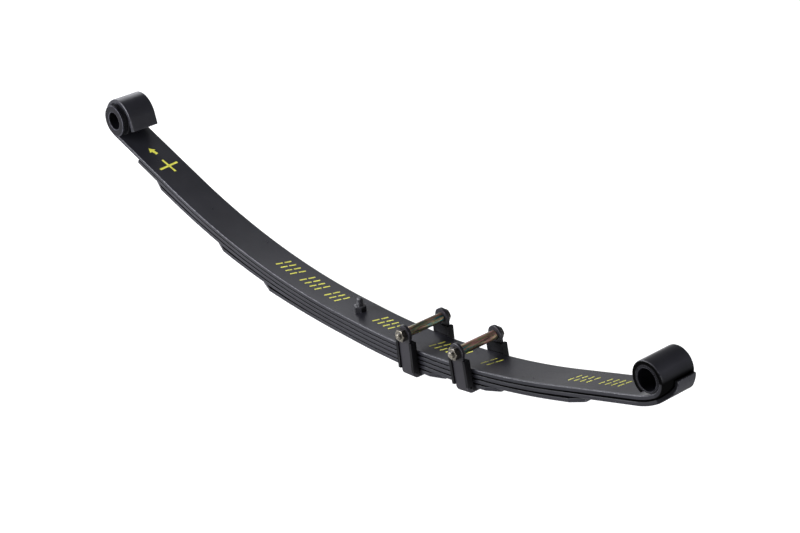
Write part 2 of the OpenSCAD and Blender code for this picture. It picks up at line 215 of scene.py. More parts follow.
def sweep_bar(path, side):
    """bmesh of a flat bar along a path of (x, z, slope, edges, inset, wear, shading), capped at both ends.

    The shading (top, underside, sides) sets the painted shade on each face, near black where it lies hidden
    against another piece and round the right eye; shaded faces get no rubbed edges.
    """
    bm = bmesh.new()
    wear_layer = bm.verts.layers.float.new("wear")
    gap_layer = bm.verts.layers.float.new("gap")
    rings = []
    for x, z, a, edges, inset, end_wear, gaps in path:
        ring = []
        for y, depth, wear, facing in ring_points(edges, inset):
            vert = bm.verts.new((
                side * (x + depth * math.sin(a)) * MM,
                y * MM,
                (z - depth * math.cos(a)) * MM,
            ))
            # painted shade: a face takes the shade set for the side it faces, and a shaded face loses its
            # rubbed edge
            hidden = gaps[depth > LEAF_T / 2]
            vert[gap_layer] = facing * hidden + (1 - facing) * gaps[2]
            vert[wear_layer] = max(wear, end_wear) * (1 - hidden)
            ring.append(vert)
        rings.append(ring)
    n = len(rings[0])
    for a, b in zip(rings, rings[1:]):
        for i in range(n):
            bm.faces.new((a[i], a[(i + 1) % n], b[(i + 1) % n], b[i]))
    bm.faces.new(rings[0])
    bm.faces.new(list(reversed(rings[-1])))
    bmesh.ops.recalc_face_normals(bm, faces=bm.faces)
    return bm


def with_end(path, r=1.0, steps=3):
    """Rounds the edges of a path's far end over its last r millimetres."""
    x, z, a, edges, _, _, gaps = path[-1]
    out = path[:-1]
    for i in range(steps + 1):
        phi = math.pi / 2 * i / steps
        back = r * (1 - math.sin(phi))
        out.append((
            x - back * math.cos(a),
            z - back * math.sin(a),
            a,
            edges,
            r * (1 - math.cos(phi)),
            1.0 if i else 0.5,
            gaps,
        ))
    return out


def lathe(name, material, centre, profile, seg=96):
    """A turned piece: profile is a loop of (radius, distance along the axis, wear)."""
    bm = bmesh.new()
    layer = bm.verts.layers.float.new("wear")
    rings = []
    for i in range(seg):
        a = 2 * math.pi * i / seg
        ring = []
        for r, h, wear in profile:
            vert = bm.verts.new((r * math.cos(a) * MM, h * MM, r * math.sin(a) * MM))
            vert[layer] = wear
            ring.append(vert)
        rings.append(ring)
    n = len(profile)
    closed = profile[0][0] > 1e-6
    for i in range(seg):
        a, b = rings[i], rings[(i + 1) % seg]
        for j in range(n if closed else n - 1):
            bm.faces.new((a[j], a[(j + 1) % n], b[(j + 1) % n], b[j]))
    bmesh.ops.remove_doubles(bm, verts=bm.verts, dist=1e-7)
    bmesh.ops.recalc_face_normals(bm, faces=bm.faces)
    bm.transform(centre)
    return even_normals(new_object(name, bm, material))


def rounded(points, radii, steps=4, support=0.5):
    """A closed outline with rounded corners: (radius, height, wear), an unworn point beside each corner."""
    out = []
    n = len(points)
    for i, (p, c) in enumerate(zip(points, radii)):
        p, before, after = Vector(p), Vector(points[i - 1]), Vector(points[(i + 1) % n])
        d0, d1 = (before - p).normalized(), (after - p).normalized()
        start, end = p + d0 * c, p + d1 * c
        centre = start + end - p
        out.append((*(start + d0 * support), 0.0))
        for j in range(steps + 1):
            a = math.pi / 2 * j / steps
            q = centre - d1 * c * math.cos(a) - d0 * c * math.sin(a)
            out.append((*q, math.sin(2 * a)))
        out.append((*(end + d1 * support), 0.0))
    return out


def sleeve_outline(r_in, r_out, half_len, c_in, c_out, support=0.5):
    points = ((r_in, -half_len), (r_out, -half_len), (r_out, half_len), (r_in, half_len))
    return rounded(points, (c_in, c_out, c_out, c_in), support=support)


def machined(node, material, width, segments=3, angle=32.0):
    """A copy of a CAD node's mesh with its hard edges rounded over by the width, in millimetres."""
    bm = bmesh.new()
    bm.from_mesh(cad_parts[node].data)
    bmesh.ops.remove_doubles(bm, verts=bm.verts, dist=2e-6)
    bmesh.ops.dissolve_limit(bm, angle_limit=math.radians(1.0), verts=bm.verts, edges=bm.edges)
    limit = math.radians(angle)
    hard = [e for e in bm.edges if len(e.link_faces) == 2 and e.calc_face_angle(0.0) > limit]
    layer = bm.loops.layers.float.new("wear")
    done = bmesh.ops.bevel(
        bm,
        geom=hard,
        offset=width * MM,
        segments=segments,
        profile=0.5,
        affect="EDGES",
        clamp_overlap=True,
    )
    for face in done["faces"]:
        for loop in face.loops:
            loop[layer] = 1.0
    bmesh.ops.recalc_face_normals(bm, faces=bm.faces)
    return even_normals(new_object(node, bm, material))


# ---------------------------------------------------------------- material helpers
class Nodes:
    """A material with short ways to add the nodes that a painted or moulded surface needs."""

    def __init__(self, name):
        self.material = bpy.data.materials.new(name)
        self.material.use_nodes = True
        self.tree = self.material.node_tree
        self.bsdf = next(n for n in self.tree.nodes if n.type == "BSDF_PRINCIPLED")
        self.coord = self.add("ShaderNodeTexCoord").outputs["Object"]

    def add(self, kind, **values):
        node = self.tree.nodes.new(kind)
        for key, value in values.items():
            setattr(node, key, value)
        return node

    def link(self, out, socket):
        self.tree.links.new(out, socket)

    def noise(self, scale, detail=4.0, rough=0.55, stretch=(1, 1, 1)):
        mapping = self.add("ShaderNodeMapping")
        mapping.inputs["Scale"].default_value = stretch
        self.link(self.coord, mapping.inputs["Vector"])
        node = self.add("ShaderNodeTexNoise")
        node.inputs["Scale"].default_value = scale
        node.inputs["Detail"].default_value = detail
        node.inputs["Roughness"].default_value = rough
        self.link(mapping.outputs["Vector"], node.inputs["Vector"])
        return node.outputs["Fac"]

    def cells(self, scale):
        node = self.add("ShaderNodeTexVoronoi", feature="SMOOTH_F1")
        node.inputs["Scale"].default_value = scale
        self.link(self.coord, node.inputs["Vector"])
        return node.outputs["Distance"]

    def attribute(self, name):
        return self.add("ShaderNodeAttribute", attribute_name=name).outputs["Fac"]

    def upward(self):
        """The height of the surface's own normal: 1 on a level top, -1 underneath."""
        split = self.add("ShaderNodeSeparateXYZ")
        self.link(self.add("ShaderNodeNewGeometry").outputs["Normal"], split.inputs["Vector"])
        return split.outputs["Z"]

    def ramp(self, factor, *stops):
        node = self.add("ShaderNodeValToRGB")
        ramp = node.color_ramp
        while len(ramp.elements) < len(stops):
            ramp.elements.new(0.5)
        for element, (position, colour) in zip(ramp.elements, stops):
            element.position = position
            element.color = (*colour, 1.0)
        self.link(factor, node.inputs["Fac"])
        return node.outputs["Color"]

    def remap(self, factor, low, high, to_low, to_high):
        node = self.add("ShaderNodeMapRange")
        node.inputs["From Min"].default_value = low
        node.inputs["From Max"].default_value = high
        node.inputs["To Min"].default_value = to_low
        node.inputs["To Max"].default_value = to_high
        self.link(factor, node.inputs["Value"])
        return node.outputs["Result"]

    def math(self, operation, a, b):
        node = self.add("ShaderNodeMath", operation=operation)
        for socket, value in zip(node.inputs, (a, b)):
            if isinstance(value, (int, float)):
                socket.default_value = value
            else:
                self.link(value, socket)
        return node.outputs["Value"]

    def mix(self, factor, a, b):
        node = self.add("ShaderNodeMix", data_type="RGBA")
        self.link(factor, node.inputs["Factor"])
        for socket, value in ((node.inputs[6], a), (node.inputs[7], b)):
            if isinstance(value, tuple):
                socket.default_value = (*value, 1.0)
            else:
                self.link(value, socket)
        return node.outputs[2]

    def bump(self, height, distance, strength, normal=None):
        node = self.add("ShaderNodeBump")
        node.inputs["Distance"].default_value = distance
        node.inputs["Strength"].default_value = strength
        self.link(height, node.inputs["Height"])
        if normal is not None:
            self.link(normal, node.inputs["Normal"])
        return node.outputs["Normal"]

    def finish(self, colour, roughness, normal, **constants):
        self.link(colour, self.bsdf.inputs["Base Color"])
        self.link(roughness, self.bsdf.inputs["Roughness"])
        self.link(normal, self.bsdf.inputs["Normal"])
        for key, value in constants.items():
            self.bsdf.inputs[key].default_value = value
        return self.material


# specular level of the leaf paint on an underside and on a top; the lower level on undersides and sides is
# painted shade
DULL_SPECULAR = 0.02
TOP_SPECULAR = 0.25


def worn_edges(m, amount):
    """0 to 1 where paint has rubbed off an edge, broken up by noise."""
    patchy = m.remap(m.noise(260, 5, 0.65), 0.42, 0.66, 0.0, 1.0)
    edge = m.math("POWER", m.attribute("wear"), 2.0)
    return m.math("MULTIPLY", m.math("MULTIPLY", edge, patchy), amount)


def painted_steel(name, dark, light, rough, peel=0.00006, wear=0.5, speckle=0.18):
    """Satin black paint: faint orange peel, dust, soft tone changes and rubbed edges, with painted shade:
    near black, with no reflection, where faces lie hidden against other pieces and round the right eye.

    Undersides and sides reflect less than the tops, as painted shade that keeps the floor's light off them.
    """
    m = Nodes(name)
    tone = m.ramp(m.noise(14, 5, 0.6), (0.3, dark), (0.75, light))
    speck = m.remap(m.noise(900, 2, 0.5), 0.68, 0.78, 0.0, speckle)
    dusty = m.mix(speck, tone, (0.05, 0.05, 0.054))
    rubbed = m.mix(worn_edges(m, wear), dusty, (0.10, 0.10, 0.106))
    # painted shade: the shade attribute darkens the colour to near black between the leaves and round the
    # right eye
    shade = m.remap(m.attribute("gap"), 0.15, 0.7, 0.0, 1.0)
    colour = m.mix(shade, rubbed, (0.0015, 0.0015, 0.0015))
    smear = m.noise(34, 6, 0.7, (0.35, 1, 1))
    roughness = m.remap(smear, 0.3, 0.75, rough - 0.05, rough + 0.07)
    peen = m.bump(m.cells(620), peel, 0.35)
    normal = m.bump(m.noise(1500, 3, 0.6), peel * 0.5, 0.35, peen)
    # painted shade: faces turned down or sideways reflect less than the tops, so they catch less of the
    # floor's light
    upward = m.remap(m.upward(), -0.4, 0.7, DULL_SPECULAR, TOP_SPECULAR)
    # painted shade also takes the reflection off those faces
    unshaded = m.math("SUBTRACT", 1.0, shade)
    m.link(m.math("MULTIPLY", upward, unshaded), m.bsdf.inputs["Specular IOR Level"])
    return m.finish(colour, roughness, normal)


def moulded_plastic():
    """Black moulded plastic with a fine matt grain and paler rubbed corners."""
    m = Nodes("moulded_plastic")
    tone = m.ramp(m.noise(40, 4, 0.6), (0.3, (0.0025, 0.0025, 0.003)), (0.8, (0.0055, 0.0055, 0.006)))
    colour = m.mix(worn_edges(m, 0.5), tone, (0.045, 0.045, 0.047))
    roughness = m.remap(m.noise(90, 5, 0.6), 0.3, 0.7, 0.42, 0.6)
    normal = m.bump(m.noise(2600, 2, 0.5), 0.0001, 0.5)
    return m.finish(colour, roughness, normal, **{"Specular IOR Level": 0.04})


def passivated_zinc(name, films, grime_amount, stretch):
    """Zinc with the bloom of chromate: the colours of the film drift over the metal under patchy grime."""
    m = Nodes(name)
    film = m.ramp(m.noise(150, 3, 0.6, stretch), *films)
    grime = m.remap(m.noise(190, 6, 0.7, stretch), 0.42, 0.60, 0.0, grime_amount)
    rubbed = m.mix(grime, film, (0.008, 0.0075, 0.008))
    patchy = m.remap(m.noise(500, 4, 0.6), 0.35, 0.65, 0.0, 0.6)
    edge = m.math("MULTIPLY", m.attribute("wear"), patchy)
    colour = m.mix(edge, rubbed, (0.34, 0.31, 0.24))
    roughness = m.remap(m.noise(210, 5, 0.6), 0.3, 0.7, 0.26, 0.44)
    lines = m.noise(900, 3, 0.6, (1, 0.05, 1))
    normal = m.bump(lines, 0.00006, 0.3)
    return m.finish(colour, roughness, normal, Metallic=0.85)


def black_rubber():
    """Matt rubber with a faint grey bloom."""
    m = Nodes("black_rubber")
    tone = m.ramp(m.noise(60, 4, 0.6), (0.3, (0.002, 0.002, 0.0025)), (0.8, (0.004, 0.004, 0.005)))
    bloom = m.remap(m.noise(420, 5, 0.7), 0.56, 0.72, 0.0, 0.5)
    colour = m.mix(bloom, tone, (0.012, 0.012, 0.0135))
    roughness = m.remap(m.noise(130, 4, 0.6), 0.3, 0.7, 0.55, 0.78)
    normal = m.bump(m.noise(1900, 3, 0.6), 0.00016, 0.5)
    return m.finish(colour, roughness, normal, **{"Specular IOR Level": 0.07})


def turned_steel(name, dark, light, metallic, wear_colour):
    """Machined steel under thin black phosphate, with turning lines and a brighter rubbed rim."""
    m = Nodes(name)
    tone = m.ramp(m.noise(90, 5, 0.6), (0.3, dark), (0.75, light))
    patchy = m.remap(m.noise(300, 5, 0.65), 0.3, 0.62, 0.15, 1.0)
    rim = m.math("MULTIPLY", m.attribute("wear"), patchy)
    colour = m.mix(rim, tone, wear_colour)
    roughness = m.remap(m.noise(170, 5, 0.6), 0.3, 0.7, 0.40, 0.56)
    lines = m.bump(m.noise(1400, 2, 0.5, (0.2, 1, 0.2)), 0.00006, 0.4)
    normal = m.bump(m.noise(800, 4, 0.6), 0.00006, 0.3, lines)
    return m.finish(colour, roughness, normal, **{"Metallic": metallic, "Specular IOR Level": 0.06})


def marking_paint():
    """Thin yellow marking paint, patchy where the black shows through."""
    m = Nodes("marking_paint")
    tone = m.ramp(m.noise(70, 4, 0.6), (0.3, (0.40, 0.39, 0.035)), (0.75, (0.60, 0.58, 0.07)))
    thin = m.remap(m.noise(520, 5, 0.7), 0.56, 0.70, 0.0, 0.8)
    colour = m.mix(thin, tone, (0.05, 0.05, 0.04))
    roughness = m.remap(m.noise(300, 4, 0.6), 0.3, 0.7, 0.5, 0.65)
    normal = m.bump(m.noise(1700, 3, 0.6), 0.0001, 0.4)
    return m.finish(colour, roughness, normal)


LEAF_PAINT = painted_steel("leaf_paint", (0.0085, 0.0085, 0.0106), (0.013, 0.013, 0.0158), 0.31)
CLIP_PAINT = painted_steel(
    "clip_paint", (0.0095, 0.009, 0.0108), (0.0145, 0.0138, 0.0162), 0.34, peel=0.00004, speckle=0.05
)
BOLT_PAINT = painted_steel(
    "bolt_paint", (0.009, 0.009, 0.010), (0.016, 0.016, 0.018), 0.32, peel=0.00004, wear=0.9
)
PLASTIC = moulded_plastic()
# colours of the chromate film, teal through straw and pink and back
BLOOM = (
    (0.38, (0.05, 0.20, 0.22)),
    (0.45, (0.26, 0.26, 0.12)),
    (0.51, (0.52, 0.24, 0.23)),
    (0.57, (0.30, 0.30, 0.14)),
    (0.64, (0.06, 0.22, 0.26)),
)
DULL = ((0.3, (0.028, 0.026, 0.025)), (0.55, (0.055, 0.05, 0.042)), (0.75, (0.03, 0.028, 0.03)))
TUBE_ZINC = passivated_zinc("tube_zinc", BLOOM, 0.85, (1, 0.10, 1))
NUT_ZINC = passivated_zinc("nut_zinc", DULL, 0.6, (1, 1, 1))
RUBBER = black_rubber()
SHELL_STEEL = turned_steel(
    "shell_steel", (0.002, 0.002, 0.0025), (0.004, 0.004, 0.005), 0.03, (0.04, 0.04, 0.045)
)
TUBE_STEEL = turned_steel(
    "tube_steel", (0.002, 0.002, 0.0028), (0.0045, 0.0043, 0.0058), 0.02, (0.06, 0.06, 0.07)
)
MARKS = marking_paint()


# ---------------------------------------------------------------- bodies
PACK = "spring_pack"
EYE_BODY = {LEFT: "left_eye", RIGHT: "right_eye"}


def bends(obj):
    """Bakes the piece's place into its mesh."""
    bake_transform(obj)
    return obj


# ---------------------------------------------------------------- leaves
# painted shade on the end faces of the right eye's roll, and on its outside above the wrap, where it fades
# out
SIDE_SHADE = 0.9
FADE_STEPS, FADE_TURN = 7, 5.0
FADE_FROM, FADE_BY = 0.66, 0.08
# turn of the wrap that gets painted shade in the corner under the eye
SHADED_TURN = 26.0
STATION_STEP = 6.0
BREAK_STEP = 0.4


def leaf_path(k, side, s_end, half_width=lambda s: LEAF_W / 2, breaks=()):
    """Stations a step apart, and closer together at each break. The leaf below hides the underside, which
    gets painted shade there, and a lower leaf's top gets painted shade under the leaf above.
    """
    marks = {0.0, SEAT_HALF, s_end}
    if s_end > CURVE_END:
        marks.add(CURVE_END)
    for b in breaks:
        marks.update((b - BREAK_STEP, b, b + BREAK_STEP))
    marks = sorted(marks)
    places = []
    for a, b in zip(marks, marks[1:]):
        n = max(1, math.ceil((b - a) / STATION_STEP))
        places += [a + (b - a) * i / n for i in range(n)]
    places.append(s_end)
    covered = (*REACH[1:], 0.0)[k]
    if k == 0 and side == RIGHT:
        covered = math.inf
    path = []
    for s in places:
        edges = -half_width(s), half_width(s)
        # painted shade on a lower leaf's top and on the underside that the leaf below covers
        gaps = float(k > 0), float(s < covered), 0.0
        path.append((*station(k, side, s), edges, 0.0, 0.0, gaps))
    return path


def roll(centre, r, a, turned, edges, step=3.0, gaps=(0.0, 0.0, 0.0)):
    """Stations rolled round a centre, on from the slope a; edges gives (near, far) at a place (x, z)."""
    n = math.ceil(turned / step)
    out = []
    for i in range(1, n + 1):
        b = a + math.radians(turned * i / n)
        x, z = centre[0] + r * math.sin(b), centre[1] - r * math.cos(b)
        mid = (x + LEAF_T / 2 * math.sin(b), z - LEAF_T / 2 * math.cos(b))
        out.append((x, z, b, edges(*mid), 0.0, 0.0, gaps))
    return out


def trimmed(k):
    """The half width, along it, of a leaf whose corners are trimmed over its last stretch."""
    start = REACH[k] - TRIM_LEN
    return lambda s: LEAF_W / 2 - TRIM_IN * min(1.0, max(0.0, (s - start) / TRIM_LEN))


def add_leaf(node, path, side):
    """One half of a leaf."""
    name = node + ("_left" if side == LEFT else "_right")
    bm = sweep_bar(with_end(path), side)
    piece = even_normals(new_object(name, bm, LEAF_PAINT))
    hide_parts(node)
    bends(piece)


def full_width(x, z):
    return -LEAF_W / 2, LEAF_W / 2


def left_eye_edges(x, z):
    """Tapers upwards on the outer side of the left eye; its top and lip are narrow."""
    cx, cz = eye_centre(LEFT)
    t = (z - cz - TAPER_LOW) / (TAPER_HIGH - TAPER_LOW)
    if x < cx:
        t = 1.0 if z > cz else 0.0
    half = LEAF_W / 2 - (LEAF_W - LEFT_EYE_W) / 2 * min(1.0, max(0.0, t))
    return -half, half


def tab_edges(x, z):
    """The wrapped end narrows over a slanted shoulder on each side to its tab."""
    t = min(1.0, max(0.0, (x - eye_centre(RIGHT)[0] - TAB_START) / TAB_LEN))
    return -LEAF_W / 2 + (LEAF_W / 2 - TAB_NEAR) * t, LEAF_W / 2 - (LEAF_W / 2 - TAB_FAR) * t


def main_leaf():
    """The left eye is rolled tight for half a turn, opens out a little and ends in a straight lip.

    The right eye is rolled tight all round, with the second leaf's wrap hiding its lower outside.
    """
    path = leaf_path(0, LEFT, CURVE_END + STRAIGHT[LEFT])
    centre, r, a = eye_centre(LEFT), EYE_R[LEFT], foot(LEFT)[2]
    path += roll(centre, r, a, LEFT_ROLL, left_eye_edges)
    a += math.radians(LEFT_ROLL)
    path += roll(inner_centre(centre, r, LEFT_OPEN_R, a), LEFT_OPEN_R, a, LEFT_OPEN_ROLL, left_eye_edges)
    x, z, a, edges, _, _, gaps = path[-1]
    steps = 4
    for i in range(1, steps + 1):
        d = LEFT_LIP * i / steps
        path.append((x + d * math.cos(a), z + d * math.sin(a), a, edges, 0.0, 0.0, gaps))
    add_leaf("main_leaf", path, LEFT)

    path = leaf_path(0, RIGHT, CURVE_END + STRAIGHT[RIGHT])
    a, centre, r = foot(RIGHT)[2], eye_centre(RIGHT), EYE_R[RIGHT]
    # painted shade under the wrap: the lead's underside, then the covered turn's underside and sides
    path += roll(lead_centre(), LEAD_R, a, LEAD_TURN, full_width, 1.5, (0.0, 1.0, 0.0))
    a += math.radians(LEAD_TURN)
    covered = WRAP_ROLL - LEAD_TURN
    path += roll(centre, r, a, covered, full_width, 3.0, (0.0, 1.0, 0.3))
    a += math.radians(covered)
    # painted shade fading out on the outside above the wrap, with dark end faces
    for i in range(FADE_STEPS):
        shade = (0.0, FADE_FROM - FADE_BY * i, SIDE_SHADE)
        path += roll(centre, r, a, FADE_TURN, full_width, FADE_TURN, shade)
        a += math.radians(FADE_TURN)
    rest = RIGHT_ROLL - covered - FADE_STEPS * FADE_TURN
    # painted shade on the end faces of the rest of the roll
    path += roll(centre, r, a, rest, full_width, 3.0, (0.0, 0.0, SIDE_SHADE))
    add_leaf("main_leaf", path, RIGHT)


def second_leaf():
    """Follows the bend under the right eye and turns up its outside, ending in a narrow tab."""
    add_leaf("second_leaf", leaf_path(1, LEFT, REACH[1]), LEFT)
    x, z, a = station(1, RIGHT, CURVE_END)
    ex, ez = eye_centre(RIGHT)
    along = (ex - x) * math.cos(a) + (ez - z) * math.sin(a)
    height = -(ex - x) * math.sin(a) + (ez - z) * math.cos(a)
    r = EYE_R[RIGHT] + LEAF_T + WRAP_GAP
    bend_r = LEAD_R + LEAF_T + WRAP_GAP
    bend = math.acos(1 - (height - r) / (bend_r - r))
    path = leaf_path(1, RIGHT, CURVE_END + along - (bend_r - r) * math.sin(bend))
    bend_centre = inner_centre((ex, ez), r, bend_r, a + bend)
    # painted shade on the wrap: its top against the eye, its outside in the bend and in the corner under
    # the eye, and its sides
    path += roll(bend_centre, bend_r, a, math.degrees(bend), full_width, 1.5, (1.0, 0.35, 0.2))
    a += bend
    path += roll((ex, ez), r, a, SHADED_TURN, tab_edges, 1.5, (1.0, 0.45, 0.4))
    a += math.radians(SHADED_TURN)
    rest = WRAP_ROLL - math.degrees(bend) - SHADED_TURN
    path += roll((ex, ez), r, a, rest, tab_edges, 1.5, (1.0, 0.0, 0.3))
    add_leaf("second_leaf", path, RIGHT)


def short_leaves():
    """The three lower leaves, with trimmed corners at both ends."""
    for k, name in ((2, "third_leaf"), (3, "fourth_leaf"), (4, "fifth_leaf")):
        for side in (LEFT, RIGHT):
            path = leaf_path(k, side, REACH[k], trimmed(k), (REACH[k] - TRIM_LEN,))
            add_leaf(name, path, side)


# ---------------------------------------------------------------- painted marks
PAINT_LIFT = 0.04


def on_main(s, y):
    """A point just above the main leaf's top, s along it from the centre."""
    side = LEFT if s < 0 else RIGHT
    x, z, a = station(0, side, abs(s))
    x -= PAINT_LIFT * math.sin(a)
    z += PAINT_LIFT * math.cos(a)
    return Vector((side * x * MM, y * MM, z * MM))


def stroke(bm, a, b, w0, w1=None):
    """A painted stroke on the main leaf from a to b, each (distance along, across), w0 to w1 wide."""
    w1 = w0 if w1 is None else w1
    a, b = Vector(a), Vector(b)
    d = (b - a).normalized()
    n = Vector((-d.y, d.x))
    count = max(2, math.ceil((b - a).length / 4))
    rows = []
    for i in range(count + 1):
        t = i / count
        p = a.lerp(b, t)
        w = (w0 + (w1 - w0) * t) / 2
        rows.append([bm.verts.new(on_main(*(p + n * w * e))) for e in (-1, -0.5, 0, 0.5, 1)])
    for r0, r1 in zip(rows, rows[1:]):
        for i in range(4):
            bm.faces.new((r0[i], r0[i + 1], r1[i + 1], r1[i]))


def paint_piece(name, strokes):
    """A group of strokes as one thin sheet on the leaf under it."""
    bm = bmesh.new()
    for s in strokes:
        stroke(bm, *s)
    for face in bm.faces:
        face.normal_update()
        if face.normal.z < 0:
            face.normal_flip()
    bends(new_object(name, bm, MARKS))


def tally(first, last, step, half_h, width, middle=2):
    """Groups of four broken, slanted strokes with a gap after each group."""
    out = []
    lean = half_h * 0.35
    for i in range(int((last - first) / step) + 1):
        if i % 5 == 4:
            continue
        s = first + i * step
        for lo, hi in ((-1.0, -0.12), (0.12, 1.0)):
            start = (s + lean * lo, half_h * lo + middle)
            out.append((start, (s + lean * hi, half_h * hi + middle), width))
    return out


def painted_marks():
    """An arrow, a cross and five rows of plain tally strokes, which spell nothing."""
    arrow = (((-531, 1), (-541, -1.6), 5.0), ((-540, -1.4), (-549, -3.7), 13.0, 0.6))
    cross = (((-514, -1), (-480, 2), 3.4), ((-495, -18), (-498, 18), 4.2))
    paint_piece("arrow_mark", arrow)
    paint_piece("cross_mark", cross)
    paint_piece("left_tally_mark", tally(-190, -44, 12, 12, 3.0))
    paint_piece("middle_tally_mark", tally(44, 124, 12, 12, 3.0))
    paint_piece("clip_tally_mark", tally(172, 240, 12, 12, 3.0))
    paint_piece("right_clip_tally_mark", tally(284, 298, 12, 12, 3.0))
    paint_piece("right_tally_mark", tally(462, 580, 12, 10, 2.6, 0))


# ---------------------------------------------------------------- bolts and nuts
def hex_radius(a):
    """Distance from a hexagon's centre to its outline in the direction a."""
    b = (a + math.pi / 6) % (math.pi / 3) - math.pi / 6
    return FLATS / 2 / math.cos(b)


def hex_ring(bm, hole_r, low, high, chamfer_low, chamfer_high, seg=72):
    """A hexagon with a round hole, its corners cut back by a 30 degree cone at the ends asked for."""
    layer = bm.verts.layers.float.new("wear")
    flat_r = FLATS / 2 * 0.96
    rings = []
    for i in range(seg):
        a = 2 * math.pi * i / seg
        rad = hex_radius(a)
        cut = (rad - flat_r) * math.tan(math.radians(30))
        z0 = low + (cut if chamfer_low else 0.0)
        z1 = high - (cut if chamfer_high else 0.0)
        profile = [
            (hole_r, low + 0.6, 0.0), (hole_r + 0.6, low, 1.0),
            (flat_r, low, 0.4), (rad, z0, 1.0), (rad, z0 + 0.5, 0.0),
            (rad, z1 - 0.5, 0.0), (rad, z1, 1.0), (flat_r, high, 0.4),
            (hole_r + 0.6, high, 1.0), (hole_r, high - 0.6, 0.0),
        ]
        ring = []
        for r, z, wear in profile:
            vert = bm.verts.new((r * math.cos(a) * MM, r * math.sin(a) * MM, z * MM))
            vert[layer] = wear
            ring.append(vert)
        rings.append(ring)
    n = len(rings[0])
    for i in range(seg):
        p, q = rings[i], rings[(i + 1) % seg]
        for j in range(n):
            bm.faces.new((p[j], p[(j + 1) % n], q[(j + 1) % n], q[j]))


def threaded_end(bm, r, low, high, seg=36, tip=1.0):
    """A screw thread from low to high along Z, closed by a chamfered tip at the top."""
    layer = bm.verts.layers.float.new("wear")
    rows_per_turn = 8
    n = max(2, math.ceil((high - tip - low) / PITCH * rows_per_turn))
    root = r - THREAD_DEPTH
    rows = []
    for j in range(n + 1):
        z = low + (high - tip - low) * j / n
        row = []
        for i in range(seg):
            a = 2 * math.pi * i / seg
            phase = (z / PITCH - i / seg) % 1.0
            crest = 1 - abs(2 * phase - 1)
            rr = root + THREAD_DEPTH * min(1.0, 1.35 * crest)
            vert = bm.verts.new((rr * math.cos(a) * MM, rr * math.sin(a) * MM, z * MM))
            vert[layer] = 1.0 if crest > 0.7 else 0.0
            row.append(vert)
        rows.append(row)
    for rr, z in ((root, high - tip * 0.4), (root - 0.6, high)):
        row = []
        for i in range(seg):
            a = 2 * math.pi * i / seg
            vert = bm.verts.new((rr * math.cos(a) * MM, rr * math.sin(a) * MM, z * MM))
            vert[layer] = 1.0
            row.append(vert)
        rows.append(row)
    for p, q in zip(rows, rows[1:]):
        for i in range(seg):
            bm.faces.new((p[i], p[(i + 1) % seg], q[(i + 1) % seg], q[i]))
    bm.faces.new(rows[-1])
    bm.faces.new(list(reversed(rows[0])))


def plain_shank(bm, r, low, high, seg=48):
    """A plain round bar along Z."""
    rows = [[], []]
    for row, z in zip(rows, (low, high)):
        for i in range(seg):
            a = 2 * math.pi * i / seg
            row.append(bm.verts.new((r * math.cos(a) * MM, r * math.sin(a) * MM, z * MM)))
    for i in range(seg):
        bm.faces.new((rows[0][i], rows[0][(i + 1) % seg], rows[1][(i + 1) % seg], rows[1][i]))
    bm.faces.new(rows[1])
    bm.faces.new(list(reversed(rows[0])))


def bolt_piece(node, material, bm, place, side=None):
    """Stands for a CAD node at a place: with a side its place is baked into its mesh, without one it rides
    on the pack.
    """
    bmesh.ops.recalc_face_normals(bm, faces=bm.faces)
    bm.transform(place)
    piece = even_normals(new_object(node, bm, material))
    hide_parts(node)
    if side is None:
        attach(piece, PACK)
    else:
        bends(piece)


def centre_bolt():
    """The threaded stud, its round head under the leaves and the nut on top."""
    bm = bmesh.new()
    plain_shank(bm, BOLT_R, -0.5, STACK_H + 1)
    threaded_end(bm, BOLT_R, STACK_H + 1, STACK_H + CENTRE_STUD, tip=1.6)
    bolt_piece("centre_bolt", BOLT_PAINT, bm, Matrix.Identity(4))
    head = lathe(
        "centre_bolt_head",
        BOLT_PAINT,
        Matrix.Rotation(math.pi / 2, 4, "X"),
        [
            (0, -8, 0), (6.8, -8, 0), (7.6, -8, 0.6), (8.6, -7.5, 1), (9, -6.6, 0.6),
            (9, -6, 0), (9, -0.2, 0), (8.8, 0, 0), (0, 0, 0),
        ],
    )
    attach(head, PACK)
    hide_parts("centre_bolt")
    nut = bmesh.new()
    hex_ring(nut, BOLT_R, STACK_H + SKIN, STACK_H + NUT_H, False, True)
    bolt_piece("centre_nut", BOLT_PAINT, nut, Matrix.Identity(4))


# ---------------------------------------------------------------- rebound clips
def across_leaf(s):
    """Frame on a clip bolt's axis whose Z points at the near side of the spring."""
    on_axis = at_main(s) @ Matrix.Translation((0, 0, CLIP_BOLT_Z * MM))
    return on_axis @ Matrix.Rotation(math.pi / 2, 4, "X")


def clip_part(node, material, edge):
    """A strap, liner or rivet, with its place baked into its mesh."""
    piece = machined(node, material, edge)
    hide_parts(node)
    bends(piece)


